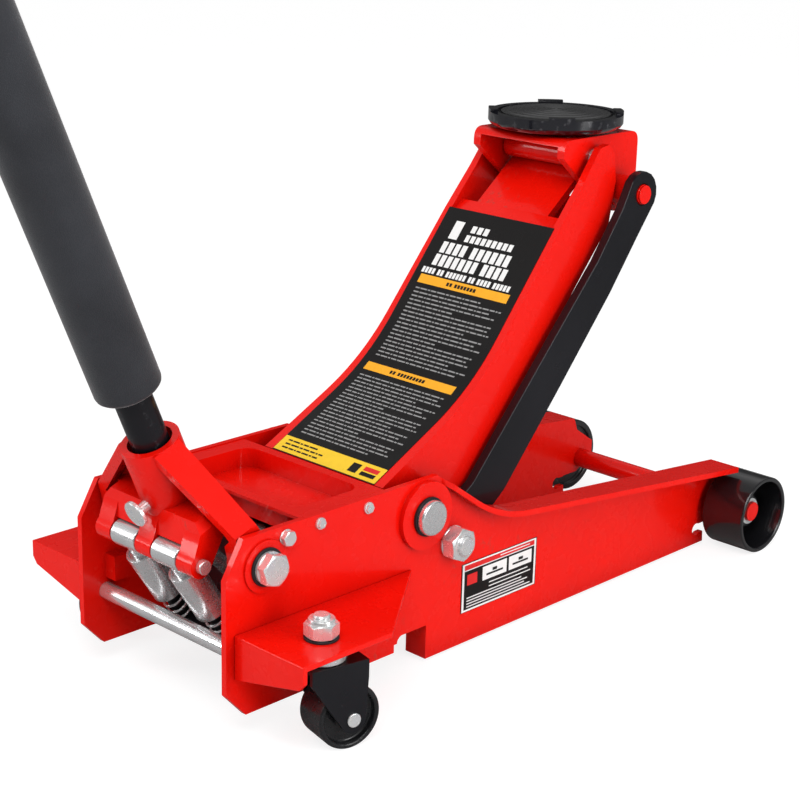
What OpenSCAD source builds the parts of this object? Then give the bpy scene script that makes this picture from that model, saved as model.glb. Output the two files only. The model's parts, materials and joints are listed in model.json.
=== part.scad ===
// Hydraulic trolley jack with a parallel-link lift arm, shown raised.
// Frame: X forward, Y to the left, Z up. The model is drawn from the rear edge
// of the side plates and then moved so that the origin lies on the floor, under
// the middle of the overall box.

/* [Frame] */
// Width over the outer faces of the side plates
frame_w = 208; // [196:1:240]
// Thickness of the side plates
plate_t = 6; // [4:0.5:7]
// Height of the side plates at the rear
plate_top = 187; // [183:1:210]
// Distance from the rear edge of the plates to the front axle
axle_x = 728; // [715:1:900]
// Ground clearance of the deep front part of the plates
plate_bottom = 3; // [2:1:12]
// Reach of the caster brackets, from the middle to the outer edge
wing_reach = 191; // [188:1:220]

/* [Wheels] */
// Radius of the front wheels
wheel_r = 43; // [36:0.5:46]
// Width of the front wheels
wheel_w = 52; // [40:1:70]
// Radius of the front axle bar
axle_r = 11; // [8:0.5:13]
// Radius of the caster wheels
caster_r = 30; // [26:0.5:32]
// Width of the caster wheels
caster_w = 36; // [20:1:38]
// Distance from the swivel stud to the caster wheel's axle
caster_trail = 19; // [14:1:20]
// How far the casters are turned out from straight ahead, in degrees
caster_turn = 13; // [0:1:20]

/* [Lift linkage] */
// Main shaft, distance from the rear edge
shaft_x = 241; // [236:1:250]
// Main shaft, height
shaft_z = 152; // [148:1:158]
// Radius of the main shaft
shaft_r = 15; // [12:0.5:17]
// Lift arm, shaft to saddle carrier pin
arm_len = 409; // [380:1:430]
// Lift arm, angle above the horizontal as shown, in degrees
arm_angle = 46.7; // [40:0.1:48]
// Half width of the arm at the carrier end
arm_half_top = 74; // [72:0.5:78]
// Thickness of the arm's plates
arm_t = 8; // [5:0.5:9]
// Links, offset of their pins from the arm's pins, forward
link_dx = 40; // [34:0.5:42]
// Links, offset of their pins from the arm's pins, down
link_dz = 37; // [34:0.5:40]
// Thickness of the links
link_t = 10; // [8:0.5:11]
// Radius of the saddle carrier pin
pin_r = 9; // [7:0.5:10]

/* [Saddle] */
// Radius of the saddle
saddle_r = 69; // [55:1:75]
// Half width of the saddle carrier
carrier_half = 60; // [58:0.5:61]
// Radius of the saddle's stem
stem_r = 16; // [10:0.5:20]

/* [Handle] */
// Tilt of the handle from upright, in degrees
handle_tilt = 22.7; // [10:0.1:30]
// Length from the yoke's pivot to the end of the handle
handle_len = 1180; // [900:10:1400]
// Outer radius of the handle tubes
tube_r = 17; // [14:0.5:18]
// Outer radius of the foam sleeve
foam_r = 30; // [24:0.5:34]

/* [Pump] */
// Half the distance between the two pump pistons
pump_y = 30; // [28:0.5:32]
// Angle of the pump pistons below the horizontal, in degrees
pump_angle = 57.4; // [55:0.1:60]
// Radius of the pump rollers
roller_r = 12; // [10:0.5:12.5]
// Outer radius of the spring cups
cup_r = 15; // [13:0.5:16]

/* [Hidden] */
$fn = 64;

red = [0.90, 0.06, 0.03];
black = [0.07, 0.07, 0.08];
steel = [0.78, 0.80, 0.82];
zinc = [0.70, 0.72, 0.70];
rubber = [0.16, 0.16, 0.18];

// Running clearance of a pin in its bore, and the gap between plain faces
fit = 0.05;
gap = 0.5;

// Side plates
plate_out = frame_w / 2;
plate_in = plate_out - plate_t;
rear_cut = [20, 34];
rear_foot = [22, 24];
rear_foot_z = 23;
front_step_x = 248;
front_foot_x = 700;
nose_x = axle_x + 22;
flange_start_x = 258;
flange_low_x = 366;
flange_low_z = 130;
flange_end_x = 724;
flange_end_z = 94;
flange_reach_rear = 16;
flange_reach_front = 32;
shaft_boss_r = 33;
shaft_boss_h = 5;
yoke_boss_r = 24;
yoke_boss_h = 2;

// Yoke pivot, and the pump rollers as placed from it
pivot = [44, 156];
roller_at = [pivot.x - 39.5, pivot.y - 0.5];

// Lift linkage pins, each as [x, z]
arm_pin_at = [shaft_x + arm_len * cos(arm_angle), shaft_z + arm_len * sin(arm_angle)];
link_low = [shaft_x + link_dx, shaft_z - link_dz];
link_high = [arm_pin_at.x + link_dx, arm_pin_at.y - link_dz];
link_out = plate_in - 4;
link_in = link_out - link_t;
link_pin_r = 10;
link_clear = 0.8;
arm_half_low = link_in - 2;

// Saddle and its carrier
saddle_x = arm_pin_at.x + 10;
carrier_top = arm_pin_at.y + 21;
carrier_t = 7;
seat_h = 3;
saddle_z = carrier_top + seat_h;
saddle_h = 14;
pad_r = saddle_r - 13;
saddle_top = saddle_z + saddle_h + 3;
tube_out_r = pin_r + 4;

// Casters
wing_top = 102;
wing_t = 5;
stud_at = [61, 157];
stud_r = 8;
fork_t = 4.5;
fork_in = caster_w / 2 + 1;
bearing_h = 13;
fork_top = wing_top - wing_t - bearing_h;

// Handle
socket_top = 105;
socket_low = 26;
socket_r = 27;
tube_low = 31;
joint_at = 640;
foam_low = 158;
foam_high = 565;
button_at = joint_at - 38;
grip_len = 130;
grip_r = tube_r + 2.5;

// Hydraulic unit
block_x = 88;
block_z = [26, 150];
block_depth = 32;
pump_face = 107;
ram_z = 101;
tank_r = 50;
tank_end = 180;
crank = 55;
crank_angle = -62;
bar_r = 10;
bar_at = [shaft_x + crank * cos(crank_angle), shaft_z + crank * sin(crank_angle)];
ram_r = 18;
ram_face = bar_at.x - bar_r - 1;

// The overall box runs from the corner of the handle's end to the front wheels
x_min = pivot.x - handle_len * sin(handle_tilt) - grip_r * cos(handle_tilt);
x_mid = (x_min + axle_x + wheel_r) / 2;

// ---------- helpers ----------
// Moves what is drawn from the rear edge of the side plates to the part's own origin
module jack() translate([-x_mid, 0, 0]) children();
module mirrored() { children(); mirror([0, 1, 0]) children(); }
// A flat outline in X and Z, as thick as from y0 to y1
module slab(y0, y1) translate([0, y1, 0]) rotate([90, 0, 0]) linear_extrude(y1 - y0) children();
// A bar along Y through the point p = [x, z]
module bar(p, r, y0, y1, fn = 64) translate([p.x, y0, p.y]) rotate([-90, 0, 0])
    cylinder(h = y1 - y0, r = r, $fn = fn);
module tube(p, r_out, r_in, y0, y1) difference() {
    bar(p, r_out, y0, y1);
    bar(p, r_in, y0 - 1, y1 + 1);
}
module hex_head(p, across, y0, y1) translate([p.x, y0, p.y]) rotate([-90, 0, 0])
    cylinder(h = y1 - y0, r = across / sqrt(3), $fn = 6);
function arc(c, r, from, to, steps = 8) =
    [for (i = [0 : steps]) let (a = from + (to - from) * i / steps) [c.x + r * cos(a), c.y + r * sin(a)]];
// A round corner at b between the points a and c, starting t before the corner
function bend(a, b, c, t, steps = 8) =
    let (p = b + (a - b) * t / norm(a - b), q = b + (c - b) * t / norm(c - b))
    [for (i = [0 : steps]) let (k = i / steps) (1 - k) * (1 - k) * p + 2 * k * (1 - k) * b + k * k * q];
// Frames of the tilted parts: the handle's axis, a pump piston's axis
module on_handle() translate([pivot.x, 0, pivot.y]) rotate([0, -handle_tilt, 0]) children();
module on_pump(y) translate([roller_at.x, y, roller_at.y]) rotate([0, 90 + pump_angle, 0]) children();
module on_arm() translate([shaft_x, 0, shaft_z]) rotate([0, -arm_angle, 0]) children();
module at_stud(side) translate([stud_at.x, side * stud_at.y, 0]) rotate([0, 0, side * caster_turn])
    children();

// ---------- frame ----------
// Upper edge of the front part of a side plate, from the step down to the nose
function front_edge() = concat([[flange_start_x, plate_top]],
    bend([flange_start_x, plate_top], [flange_low_x - 36, flange_low_z + 4], [flange_end_x, flange_end_z], 34),
    [[flange_end_x - 10, flange_end_z + 1]]);
module plate_outline() difference() {
    polygon(concat([[rear_foot.x, rear_foot_z], [0, rear_foot_z + rear_foot.y],
        [0, plate_top - rear_cut.y], [rear_cut.x, plate_top]], front_edge(),
        [[nose_x - 30, flange_end_z - 14], [nose_x, axle_r * 2 + 38], [nose_x, wheel_r],
        [nose_x - 28, rear_foot_z + 4], [front_foot_x - 2, rear_foot_z + 4],
        [front_foot_x, plate_bottom], [front_step_x, plate_bottom], [front_step_x, rear_foot_z]]));
    // Round relief where the rear part meets the deep front part
    translate([front_step_x - 43, rear_foot_z - 1]) square([43, 9]);
    translate([front_step_x - 32, rear_foot_z + 8]) circle(r = 7, $fn = 32);
    translate([front_step_x - 32, rear_foot_z + 7]) square([32, 8]);
    // Small round notch above the front foot
    translate([front_foot_x - 14, rear_foot_z - 3]) circle(r = 7, $fn = 32);
    translate([front_foot_x - 14, rear_foot_z - 8]) square([30, 11]);
}
// The turned-out flange, a strip under the upper edge that widens to the front
module flange() intersection() {
    slab(-plate_out - flange_reach_front, -plate_out + 1) polygon(concat(
        front_edge(), [for (i = [len(front_edge()) - 1 : -1 : 0]) front_edge()[i] - [0, plate_t]]));
    linear_extrude(plate_top + 10) polygon([[flange_start_x, -plate_in], [flange_start_x + 14, -plate_out - 9],
        [flange_low_x, -plate_out - flange_reach_rear - 4], [flange_end_x + 20, -plate_out - flange_reach_front],
        [flange_end_x - 6, -plate_in]]);
}
module side_plate() difference() {
    union() {
        slab(-plate_out, -plate_in) plate_outline();
        flange();
        // Inward foot of the deep front part
        translate([front_step_x, -plate_in - 1, plate_bottom]) cube([310, 21, plate_t]);
        translate([front_step_x, -plate_in - 1, plate_bottom]) cube([plate_t, 21, 34]);
        bar([shaft_x, shaft_z], shaft_boss_r, -plate_out - shaft_boss_h, -plate_out + 1);
        bar(pivot, yoke_boss_r, -plate_out - yoke_boss_h, -plate_out + 1);
        // Welded block above the tie rod
        translate([26, -plate_in - 1, 88]) cube([24, 15, 24]);
    }
    bar([shaft_x, shaft_z], shaft_r + fit, -plate_out - 10, -plate_in + 1);
    bar(pivot, yoke_bolt_r + fit, -plate_out - 10, -plate_in + 1);
    bar([axle_x, wheel_r], axle_r + fit, -plate_out - 1, -plate_in + 1);
    bar(link_low, link_pin_r + fit, -plate_out - 1, -plate_in + 1);
    bar(tie_at, tie_r + fit, -plate_out - 1, -plate_in + 1);
    for (p = tray_screw_at) bar(p, screw_r + fit, -plate_out - 1, -plate_in + 1);
    bar(unit_bolt_at, unit_bolt_r + fit, -plate_out - 1, -plate_in + 1);
}
yoke_bolt_r = 10;
tie_at = [26, 75];
tie_r = 8;
screw_r = 3;
tray_screw_at = [[108, 178.5], [167, 178]];
unit_bolt_at = [68, 176];
unit_bolt_r = 4;
module side_plate_right() color(red) jack() side_plate();
module side_plate_left() color(red) jack() mirror([0, 1, 0]) side_plate();

module rear_tie_rod() color(steel) jack() bar(tie_at, tie_r, -plate_out, plate_out);

// Bracket outside a side plate: a flat wing with a turned-down rear lip
wing_rear = 9;
wing_corner_x = 113;
wing_meet_x = 226;
module wing() difference() {
    union() {
        translate([0, 0, wing_top - wing_t]) linear_extrude(wing_t) polygon([[wing_rear, -plate_out],
            [wing_rear, -wing_reach], [wing_corner_x, -wing_reach], [wing_meet_x, -plate_out]]);
        translate([wing_rear, 0, 0]) rotate([90, 0, 90]) linear_extrude(wing_t) polygon([
            [-plate_out, wing_top], [-wing_reach, wing_top], [-wing_reach, wing_top - 16],
            [-wing_reach + 6, wing_top - 23], [-plate_out, wing_top - 42]]);
    }
    translate([stud_at.x, -stud_at.y, 0]) cylinder(h = wing_top + 5, r = stud_r + fit);
}
module caster_bracket_right() color(red) jack() wing();
module caster_bracket_left() color(red) jack() mirror([0, 1, 0]) wing();

// ---------- front wheels ----------
wheel_in = plate_out + 7;
wheel_out = wheel_in + wheel_w;
wheel_web = 12;
axle_end = wheel_out - 14;
module front_axle() color(red) jack() {
    bar([axle_x, wheel_r], axle_r, -axle_end, axle_end);
    // Collars that keep the wheels off the plates
    mirrored() tube([axle_x, wheel_r], axle_r + 6, axle_r - 1, plate_out, wheel_in - 0.3);
}
module front_wheel() difference() {
    bar([axle_x, wheel_r], wheel_r, wheel_in, wheel_out);
    // Dished outer side with a hub, and a shallow recess inside
    difference() {
        translate([axle_x, wheel_out + 0.01, wheel_r]) rotate([90, 0, 0])
            cylinder(h = wheel_w - wheel_web, r1 = wheel_r - 5, r2 = wheel_r - 9);
        bar([axle_x, wheel_r], axle_r + 8, wheel_in, wheel_out - 20);
    }
    difference() {
        bar([axle_x, wheel_r], wheel_r - 7, wheel_in - 1, wheel_in + 4);
        bar([axle_x, wheel_r], axle_r + 8, wheel_in - 2, wheel_in + 5);
    }
    bar([axle_x, wheel_r], axle_r + fit, wheel_in - 1, wheel_out + 1);
}
module front_wheel_left() color(black) jack() front_wheel();
module front_wheel_right() color(black) jack() mirror([0, 1, 0]) front_wheel();
module wheel_rings() color(zinc) jack() mirrored()
    tube([axle_x, wheel_r], axle_r + 4, axle_r, wheel_out - 19.7, wheel_out - 17.7);

// ---------- pins and bolts of the frame ----------
shaft_end = plate_out + shaft_boss_h;
module main_shaft() color(steel) jack() {
    bar([shaft_x, shaft_z], shaft_r, -shaft_end, shaft_end);
    mirrored() {
        bar([shaft_x, shaft_z], shaft_r + 2, shaft_end + 3, shaft_end + 8);
        translate([shaft_x, shaft_end + 8, shaft_z]) rotate([-90, 0, 0])
            cylinder(h = 1.5, r1 = shaft_r + 2, r2 = shaft_r + 0.5);
        bar([shaft_x, shaft_z], shaft_r, shaft_end, shaft_end + 3);
    }
}
module shaft_rings() color(black) jack() mirrored()
    tube([shaft_x, shaft_z], shaft_r + 4, shaft_r, shaft_end, shaft_end + 3);
stud_end = plate_out + 20;
nut_across = 30;
module link_studs() color(zinc) jack() mirrored() {
    bar(link_low, link_pin_r, link_in, stud_end - 2);
    bar(link_low, link_pin_r - 1.5, stud_end - 3, stud_end);
    // Spacer collar between link and plate
    tube(link_low, link_pin_r + 6, link_pin_r - 1, link_out + 0.3, plate_in);
}
module link_nuts() color(zinc) jack() mirrored() difference() {
    union() {
        hex_head(link_low, nut_across, plate_out + 2, plate_out + 16);
        bar(link_low, nut_across / 2 + 1, plate_out, plate_out + 2);
    }
    bar(link_low, link_pin_r, plate_out - 1, plate_out + 30);
}
module yoke_bolts() color(zinc) jack() mirrored() {
    bar(pivot, yoke_bolt_r, yoke_side - 20, plate_out + yoke_boss_h + 3);
    bar(pivot, 15, plate_out + yoke_boss_h + 2, plate_out + yoke_boss_h + 5);
    hex_head(pivot, 27, plate_out + yoke_boss_h + 5, plate_out + yoke_boss_h + 14);
}
module yoke_washers() color(black) jack() mirrored()
    tube(pivot, 17.5, yoke_bolt_r, plate_out + yoke_boss_h, plate_out + yoke_boss_h + 2);
module unit_bolts() color(zinc) jack() mirrored() {
    bar(unit_bolt_at, unit_bolt_r, plate_in - 6, plate_out);
    bar(unit_bolt_at, 7.5, plate_out, plate_out + 1);
    hex_head(unit_bolt_at, 13, plate_out + 1, plate_out + 6.5);
    hex_head(unit_bolt_at, 13, plate_in - 6, plate_in);
}
module tray_screws() color(zinc) jack() mirrored() for (p = tray_screw_at) {
    bar(p, screw_r, plate_in - 8, plate_out);
    bar(p, 5.5, plate_out, plate_out + 2);
    hex_head(p, 8, plate_out + 2, plate_out + 4);
}

// ---------- tool tray ----------
tray_rear = 90;
tray_front = shaft_x - 46;
tray_t = 3;
tray_depth = 22;
module tool_tray() color(red) jack() difference() {
    tray_edge = plate_in - 0.2;
    union() {
        translate([tray_rear, -tray_edge, plate_top - 1 - tray_t]) cube([tray_front - tray_rear, 2 * tray_edge, tray_t]);
        for (s = [-1, 1]) translate([tray_rear, s > 0 ? tray_edge - tray_t : -tray_edge, plate_top - 18])
            cube([tray_front - tray_rear, tray_t, 16]);
        translate([tray_rear + 8, 0, plate_top - 1 - tray_depth]) tray_well(tray_depth - 1, 0);
    }
    translate([tray_rear + 8, 0, plate_top - 1 - tray_depth + tray_t]) tray_well(tray_depth + 2, tray_t);
    mirrored() for (p = tray_screw_at) bar(p, screw_r, plate_in - 10, plate_in + 1);
}
// The pressed well of the tray, with round corners, smaller all round by inset
module tray_well(h, inset) {
    well = [tray_front - tray_rear - 16, 2 * plate_in - 34];
    corner = 18;
    for (sx = [0, 1], sy = [-1, 1])
        translate([sx > 0 ? well.x - corner : corner, sy * (well.y / 2 - corner), 0]) cylinder(h = h, r = corner - inset);
    translate([inset, corner - well.y / 2, 0]) cube([well.x - 2 * inset, well.y - 2 * corner, h]);
    translate([corner, inset - well.y / 2, 0]) cube([well.x - 2 * corner, well.y - 2 * inset, h]);
}

// ---------- casters ----------
module each_stud() for (s = [-1, 1]) translate([stud_at.x, s * stud_at.y, 0]) children();
module caster_studs() color(zinc) jack() each_stud() {
    translate([0, 0, fork_top - 10]) cylinder(h = wing_top + 22 - fork_top + 10, r = stud_r);
    translate([0, 0, fork_top - 10]) cylinder(h = 5, r = stud_r + 5);
}
module caster_washers() color(black) jack() each_stud() difference() {
    translate([0, 0, wing_top]) cylinder(h = 2, r = 15.5);
    cylinder(h = wing_top + 20, r = stud_r);
}
module caster_nuts() color(zinc) jack() each_stud() difference() {
    union() {
        translate([0, 0, wing_top + 2]) cylinder(h = 13, r = 27 / sqrt(3), $fn = 6);
        translate([0, 0, wing_top + 15]) cylinder(h = 4, r1 = 12.5, r2 = 10.5);
    }
    cylinder(h = wing_top + 30, r = stud_r);
}
module swivel_bearings() color(zinc) jack() each_stud() translate([0, 0, fork_top]) difference() {
    cylinder(h = bearing_h, r = 22);
    translate([0, 0, -1]) cylinder(h = bearing_h + 2, r = stud_r);
}
module fork(side) color(black) jack() at_stud(side) difference() {
    union() {
        translate([0, 0, fork_top - fork_t]) linear_extrude(fork_t - 0.3) {
            circle(r = 23);
            translate([cheek_x[0], -fork_in - fork_t]) square([cheek_x[1] - cheek_x[0], 2 * (fork_in + fork_t)]);
        }
        for (s = [-1, 1]) slab(s > 0 ? fork_in : -fork_in - fork_t, s > 0 ? fork_in + fork_t : -fork_in)
            cheek_outline();
    }
    cylinder(h = wing_top, r = stud_r + fit);
    bar([caster_trail, caster_r], 5 + fit, -40, 40);
}
cheek_x = [-22, 34];
module cheek_outline() {
    polygon([[cheek_x[0], fork_top - 0.3], [cheek_x[0], fork_top - 14], [caster_trail - 12, caster_r - 4],
        [caster_trail + 12, caster_r - 4], [cheek_x[1], fork_top - 16], [cheek_x[1], fork_top - 0.3]]);
    translate([caster_trail, caster_r]) circle(r = 12.5);
}
module caster_fork_right() fork(-1);
module caster_fork_left() fork(1);
module caster_axle(side) color(zinc) jack() at_stud(side) {
    bar([caster_trail, caster_r], 5, -fork_in - fork_t, fork_in + fork_t);
    for (s = [-1, 1]) bar([caster_trail, caster_r], 6.5, s > 0 ? fork_in + fork_t : -fork_in - fork_t - 2,
        s > 0 ? fork_in + fork_t + 2 : -fork_in - fork_t);
}
module caster_axle_right() caster_axle(-1);
module caster_axle_left() caster_axle(1);
module caster_wheel(side) color(black) jack() at_stud(side) difference() {
    half = caster_w / 2;
    bar([caster_trail, caster_r], caster_r, -half, half);
    for (s = [-1, 1]) difference() {
        bar([caster_trail, caster_r], caster_r - 5, s > 0 ? half - 6 : -half - 1, s > 0 ? half + 1 : 6 - half);
        bar([caster_trail, caster_r], 10, -half, half);
    }
    bar([caster_trail, caster_r], 5 + fit, -half - 1, half + 1);
}
module caster_wheel_right() caster_wheel(-1);
module caster_wheel_left() caster_wheel(1);

// ---------- lift arm, drawn along its own axis from the main shaft ----------
bend_u = 135;
tongue_u = arm_len - 92;
heel_r = 39.5;
// Upper edge of the arm, from the heel over the bend to the tongue
function arm_top(drop) = let (a = [-2, 43 - drop], b = [bend_u, -4.8 - drop], c = [tongue_u, 8 - drop])
    concat([a], bend(a, b, c, 55, 10), [c]);
module arm_outline() {
    polygon(concat(arm_top(0), [[arm_len - 40, 10], [arm_len + 3, 14], [arm_len + 14, 6], [arm_len + 14, -8],
        [arm_len - 4, -30], [arm_len - 42, -54], [arm_len - 140, -57], [60, -56], [10, -70], [-30, -66], [-40, -10]]));
    circle(r = heel_r);
}
module arm_plan(inset) translate([0, 0, -120]) linear_extrude(240) polygon([
    for (s = [-1, 1]) for (k = s > 0 ? [1, 0] : [0, 1])
        [k > 0 ? arm_len + 30 : -60, s * ((k > 0 ? arm_half_top : arm_half_low) - inset)]]);
module lift_arm() color(red) jack() on_arm() difference() {
    union() {
        difference() {
            intersection() {
                slab(-plate_in, plate_in) arm_outline();
                arm_plan(0);
            }
            // Hollow below the top plate, open underneath and past the tongue
            intersection() {
                slab(-plate_in, plate_in) polygon(concat([[-60, 60 - arm_t], [-12, 46 - arm_t]], arm_top(arm_t),
                    [[tongue_u, 60], [arm_len + 60, 60], [arm_len + 60, -100], [-60, -100]]));
                arm_plan(arm_t);
            }
        }
        // Tongue: the top plate runs on, narrower and lower, to the cross tube
        slab(-47, 47) polygon([[tongue_u - 14, 8 - arm_t], [tongue_u - 14, 7.2], [tongue_u + 14, 1],
            [arm_len - 8, -9], [arm_len - 8, -9 - arm_t + 1], [tongue_u + 14, 1 - arm_t]]);
        slab(-arm_half_top + 3, arm_half_top - 3) polygon([[tongue_u - 14, 8 - arm_t], [tongue_u - 14, 7.2],
            [tongue_u + 16, 1], [tongue_u + 14, 1 - arm_t]]);
        tube([arm_len, 0], tube_out_r, pin_r, -49, 49);
        // Stiffening plate under the carrier end, narrower where it runs between the carrier's cheeks
        intersection() {
            slab(-plate_in, plate_in) polygon([[arm_len - 130, -54], [arm_len - 130, -48], [arm_len - 70, -48],
                [arm_len - 70, -54]]);
            arm_plan(2);
        }
        slab(-48, 48) polygon([[arm_len - 71, -54], [arm_len - 71, -48], [arm_len - 22, -46], [arm_len - 22, -52]]);
        // Hub round the main shaft, with a collar on each side
        bar([0, 0], 25, -plate_in + 0.4, plate_in - 0.4);
    }
    bar([0, 0], shaft_r + fit, -plate_in - 1, plate_in + 1);
    bar([arm_len, 0], pin_r + 0.02, 2.95 - arm_half_top, arm_half_top - 2.95);
    bar(crank * [cos(crank_angle - arm_angle), sin(crank_angle - arm_angle)], bar_r, -plate_in, plate_in);
}
module arm_pin() color(steel) jack() bar(arm_pin_at, pin_r, 3 - arm_half_top, arm_half_top - 3);
module ram_cross_bar() color(steel) jack() bar(bar_at, bar_r, 3 - arm_half_low, arm_half_low - 3);
module arm_decal() color(black) jack() on_arm() slab(-70, 70) polygon(concat(
    arm_top(-0.5), [for (i = [len(arm_top(0)) - 1 : -1 : 0]) arm_top(-0.05)[i]]));

// ---------- saddle carrier, links and saddle ----------
carrier_rear = arm_pin_at.x - 47;
carrier_front = arm_pin_at.x + 71;
cheek_t = 9;
carrier_bend = 12;
module carrier_side() {
    rear_top = [carrier_rear, carrier_top];
    front_top = [carrier_front, carrier_top];
    front_low = [carrier_front, carrier_top - 42];
    rear_low = [carrier_rear, carrier_top - 18];
    polygon(concat([rear_low, [arm_pin_at.x - 14, arm_pin_at.y - 25], [link_high.x - 14, link_high.y - 17],
        [link_high.x + 17, link_high.y - 14], front_low], bend(front_low, front_top, rear_top, carrier_bend),
        bend(front_top, rear_top, rear_low, carrier_bend)));
    translate(link_high) circle(r = 22);
}
module saddle_carrier() color(red) jack() difference() {
    union() {
        mirrored() slab(carrier_half - cheek_t, carrier_half) carrier_side();
        // Top plate, bent down at the front into a wall
        intersection() {
            slab(1 - carrier_half, carrier_half - 1) carrier_side();
            union() {
                translate([carrier_rear, -carrier_half, carrier_top - carrier_t])
                    cube([carrier_front - carrier_rear, 2 * carrier_half, carrier_t]);
                translate([carrier_front - 8, -carrier_half, carrier_top - 42]) cube([8, 2 * carrier_half, 42]);
            }
        }
        translate([saddle_x, 0, carrier_top - 1]) cylinder(h = seat_h + 1 - 0.3, r = 32);
        // Bosses that carry the links
        mirrored() bar(link_high, 16, carrier_half - 1, link_in - gap);
    }
    bar(arm_pin_at, pin_r + fit, -plate_in, plate_in);
    bar(link_high, link_pin_r, -plate_in, plate_in);
    translate([saddle_x, 0, carrier_top - 20]) cylinder(h = 30, r = stem_r + fit);
}
module link_pins() color(red) jack() mirrored() {
    bar(link_high, link_pin_r, carrier_half - cheek_t, link_out + 0.5);
    bar(link_high, link_pin_r - 0.5, link_out + 0.4, plate_in - 1);
}
// Link, drawn along the line between its pins; the body lies ahead of that line
link_low_r = 20;
link_high_r = 23;
module link_outline() polygon(concat(
    arc([0, 0], link_low_r, 95, 285),
    [[40, -36], [80, -42], [200, -38], [arm_len - 100, -33], [arm_len - 35, -26]],
    arc([arm_len, 0], link_high_r, -75, 95),
    [[arm_len - 30, 15], [arm_len - 90, 8], [180, 6], [60, 4], [24, 13]]));
module link(side) color(black) jack() difference() {
    translate([link_low.x, 0, link_low.y]) rotate([0, -arm_angle, 0])
        slab(side > 0 ? link_in : -link_out, side > 0 ? link_out : -link_in) link_outline();
    bar(link_low, link_pin_r + fit, -plate_in, plate_in);
    bar(link_high, link_pin_r + link_clear, -plate_in, plate_in);
}
module link_right() link(-1);
module link_left() link(1);
module saddle() color(black) jack() difference() {
    union() {
        translate([saddle_x, 0, saddle_z]) {
            cylinder(h = 2, r1 = saddle_r - 5, r2 = saddle_r - 2);
            translate([0, 0, 2]) cylinder(h = 3, r1 = saddle_r - 2, r2 = saddle_r);
            translate([0, 0, 5]) cylinder(h = saddle_h - 5, r = saddle_r);
            // Four low lugs on the rim
            for (a = [0 : 90 : 270]) rotate([0, 0, a + 45]) intersection() {
                cylinder(h = saddle_h + 3, r = saddle_r);
                translate([saddle_r - 9, -13, saddle_h - 1]) cube([9, 26, 4]);
            }
            translate([0, 0, -seat_h - carrier_t + 0.5]) cylinder(h = seat_h + carrier_t, r = stem_r);
        }
    }
    translate([saddle_x, 0, saddle_z + saddle_h - 4]) cylinder(h = 10, r = saddle_r - 9);
}
module saddle_pad() color(rubber) jack() translate([saddle_x, 0, saddle_z + saddle_h - 4]) difference() {
    cylinder(h = 7, r = pad_r);
    for (r = [14 : 12 : pad_r - 6]) translate([0, 0, 5.5]) rotate_extrude() translate([r, 0]) square([5, 3]);
}

// ---------- hydraulic unit ----------
module hydraulic_block() color(black) jack() difference() {
    face = [roller_at.x + (pump_face) * cos(pump_angle), roller_at.y - pump_face * sin(pump_angle)];
    across = [sin(pump_angle), cos(pump_angle)];
    slab(-50, 50) polygon([face - 18 * across, face + 26 * across, [block_x, face.y + 26 * across.y],
        [block_x, block_z[1]], [block_x + block_depth, block_z[1]], [block_x + block_depth, block_z[0]],
        [block_x + 2, block_z[0]]]);
    // The ram's bore runs a little way into the block
    x_tube(block_x + block_depth - ram_bore_depth, block_x + block_depth + 1, ram_r + 3, 0);
    for (s = [-1, 1]) on_pump(s * pump_y) translate([0, 0, pump_face - 1]) cylinder(h = 15, r = barrel_r + 0.02);
    translate([pivot.x, 0, pivot.y]) rotate([0, 135, 0]) cylinder(h = 90, r = valve_r + fit);
    translate([block_x + 16, 24, block_z[1] - 12]) cylinder(h = 20, r = 6);
    translate([block_x + 16, -24, block_z[1] - 12]) cylinder(h = 20, r = 6);
}
barrel_r = 7.5;
plunger_r = 5;
valve_r = 7;
module x_tube(x0, x1, r_out, r_in) translate([x0, 0, ram_z]) rotate([0, 90, 0]) difference() {
    cylinder(h = x1 - x0, r = r_out);
    if (r_in > 0) translate([0, 0, -1]) cylinder(h = x1 - x0 + 2, r = r_in);
}
cylinder_r = 27;
module reservoir() color(black) jack() {
    x_tube(block_x + block_depth, tank_end - 6, tank_r, tank_r - 3);
    x_tube(tank_end - 6, tank_end, tank_r, cylinder_r);
}
module ram_cylinder() color(black) jack() {
    x_tube(block_x + block_depth, tank_end, cylinder_r, ram_r + 3);
    x_tube(tank_end, tank_end + 7, cylinder_r, ram_r + fit);
}
ram_bore_depth = 8;
ram_back = ram_face - 88;
module ram_piston() color(steel) jack() translate([0, 0, ram_z]) rotate([0, 90, 0]) {
    translate([0, 0, ram_back]) cylinder(h = 8, r = ram_r + 3 - fit);
    translate([0, 0, ram_back]) cylinder(h = ram_face - 8 - ram_back, r = ram_r);
    translate([0, 0, ram_face - 9]) cylinder(h = 9, r = 24);
}
module pump_barrels() color(black) jack() for (s = [-1, 1]) on_pump(s * pump_y) difference() {
    translate([0, 0, 62]) cylinder(h = pump_face + 12 - 62, r = barrel_r);
    translate([0, 0, 61]) cylinder(h = pump_face + 8 - 61, r = plunger_r + fit);
}
module pump_plungers() color(steel) jack() for (s = [-1, 1]) on_pump(s * pump_y) {
    translate([0, 0, roller_r + 0.3]) cylinder(h = 10, r = 9);
    translate([0, 0, roller_r + 5]) cylinder(h = 56, r = plunger_r);
}
module spring_cups() color(steel) jack() for (s = [-1, 1]) on_pump(s * pump_y) difference() {
    translate([0, 0, 20]) cylinder(h = 56, r = cup_r);
    translate([0, 0, 25]) cylinder(h = 60, r = cup_r - 2.5);
    translate([0, 0, 17.5]) cylinder(h = 4, r = cup_r - 2.5);
    translate([0, 0, 10]) cylinder(h = 60, r = plunger_r);
    translate([0, 0, 10]) cylinder(h = roller_r + 0.3, r = 9);
}
spring_turns = 8;
spring_r = 10.2;
wire_r = 1.3;
spring_low = 27;
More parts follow.
